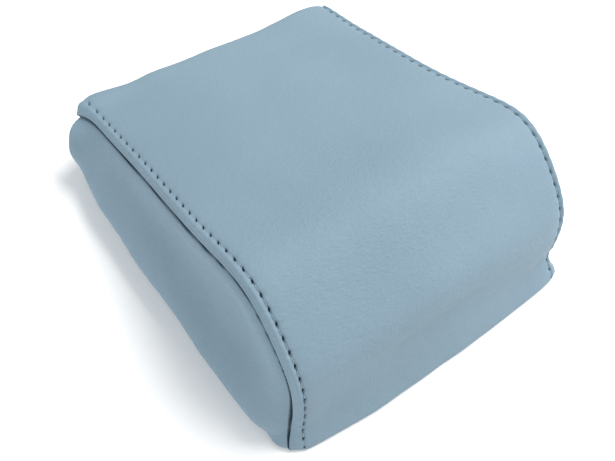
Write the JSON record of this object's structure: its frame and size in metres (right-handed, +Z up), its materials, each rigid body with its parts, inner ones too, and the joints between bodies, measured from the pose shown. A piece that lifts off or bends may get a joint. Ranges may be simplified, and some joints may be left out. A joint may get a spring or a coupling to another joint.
{
  "type": "face cradle cushion",
  "caption": "Contoured head and neck cushion for a massage table: leatherette cover with a rounded neck roll, thin end, zip and hook strips.",
  "frame": {"origin": "middle of the base, on the surface the cushion stands on", "axes": "+X across the cushion to its right side seen from the nose, +Y from the thick rounded nose towards the thin end, +Z up"},
  "size_m": [0.2358, 0.268, 0.1001],
  "materials": {
    "cover_leatherette": "satin, very fine grain, powder blue",
    "topstitch_thread": "matt bonded polyester thread",
    "wadding": "white polyester wadding",
    "soft_foam": "cream open-cell foam",
    "firm_foam": "pale grey open-cell foam",
    "base_foam": "dark grey firm foam",
    "zip_tape": "herringbone woven tape",
    "zip_coil": "satin nylon",
    "zip_metal": "nickel plated",
    "hook_tape": "matt nylon hooks"
  },
  "bodies": {
    "cushion": {"top_wrap_panel": "cover_leatherette", "side_panel_left": "cover_leatherette", "side_panel_right": "cover_leatherette", "bottom_panel_front": "cover_leatherette", "bottom_panel_rear": "cover_leatherette", "topstitch_left": "topstitch_thread", "topstitch_right": "topstitch_thread", "wadding_wrap": "wadding", "comfort_foam_layer": "soft_foam", "support_foam_core": "firm_foam", "base_foam_slab": "base_foam", "hook_strip_left": "hook_tape", "hook_strip_right": "hook_tape", "zip_tape_front": "zip_tape", "zip_tape_rear": "zip_tape", "zip_coil_front": "zip_coil", "zip_coil_rear": "zip_coil", "zip_top_stop_front": "zip_metal", "zip_top_stop_rear": "zip_metal", "zip_bottom_stop": "zip_metal"},
    "slider": {"zip_slider": "zip_metal"},
    "pull_tab": {"zip_pull_tab": "zip_metal"}
  },
  "joints": [
    {"name": "zip_slide", "type": "slide", "parent": "cushion", "child": "slider", "axis": [-1, 0, 0], "range_m": [0, 0.156]},
    {"name": "pull_tab_hinge", "type": "hinge", "parent": "slider", "child": "pull_tab", "pos_m": [0.07795, 0.092, 0.00105], "axis": [0, -1, 0], "range_deg": [0, 180]}
  ]
}
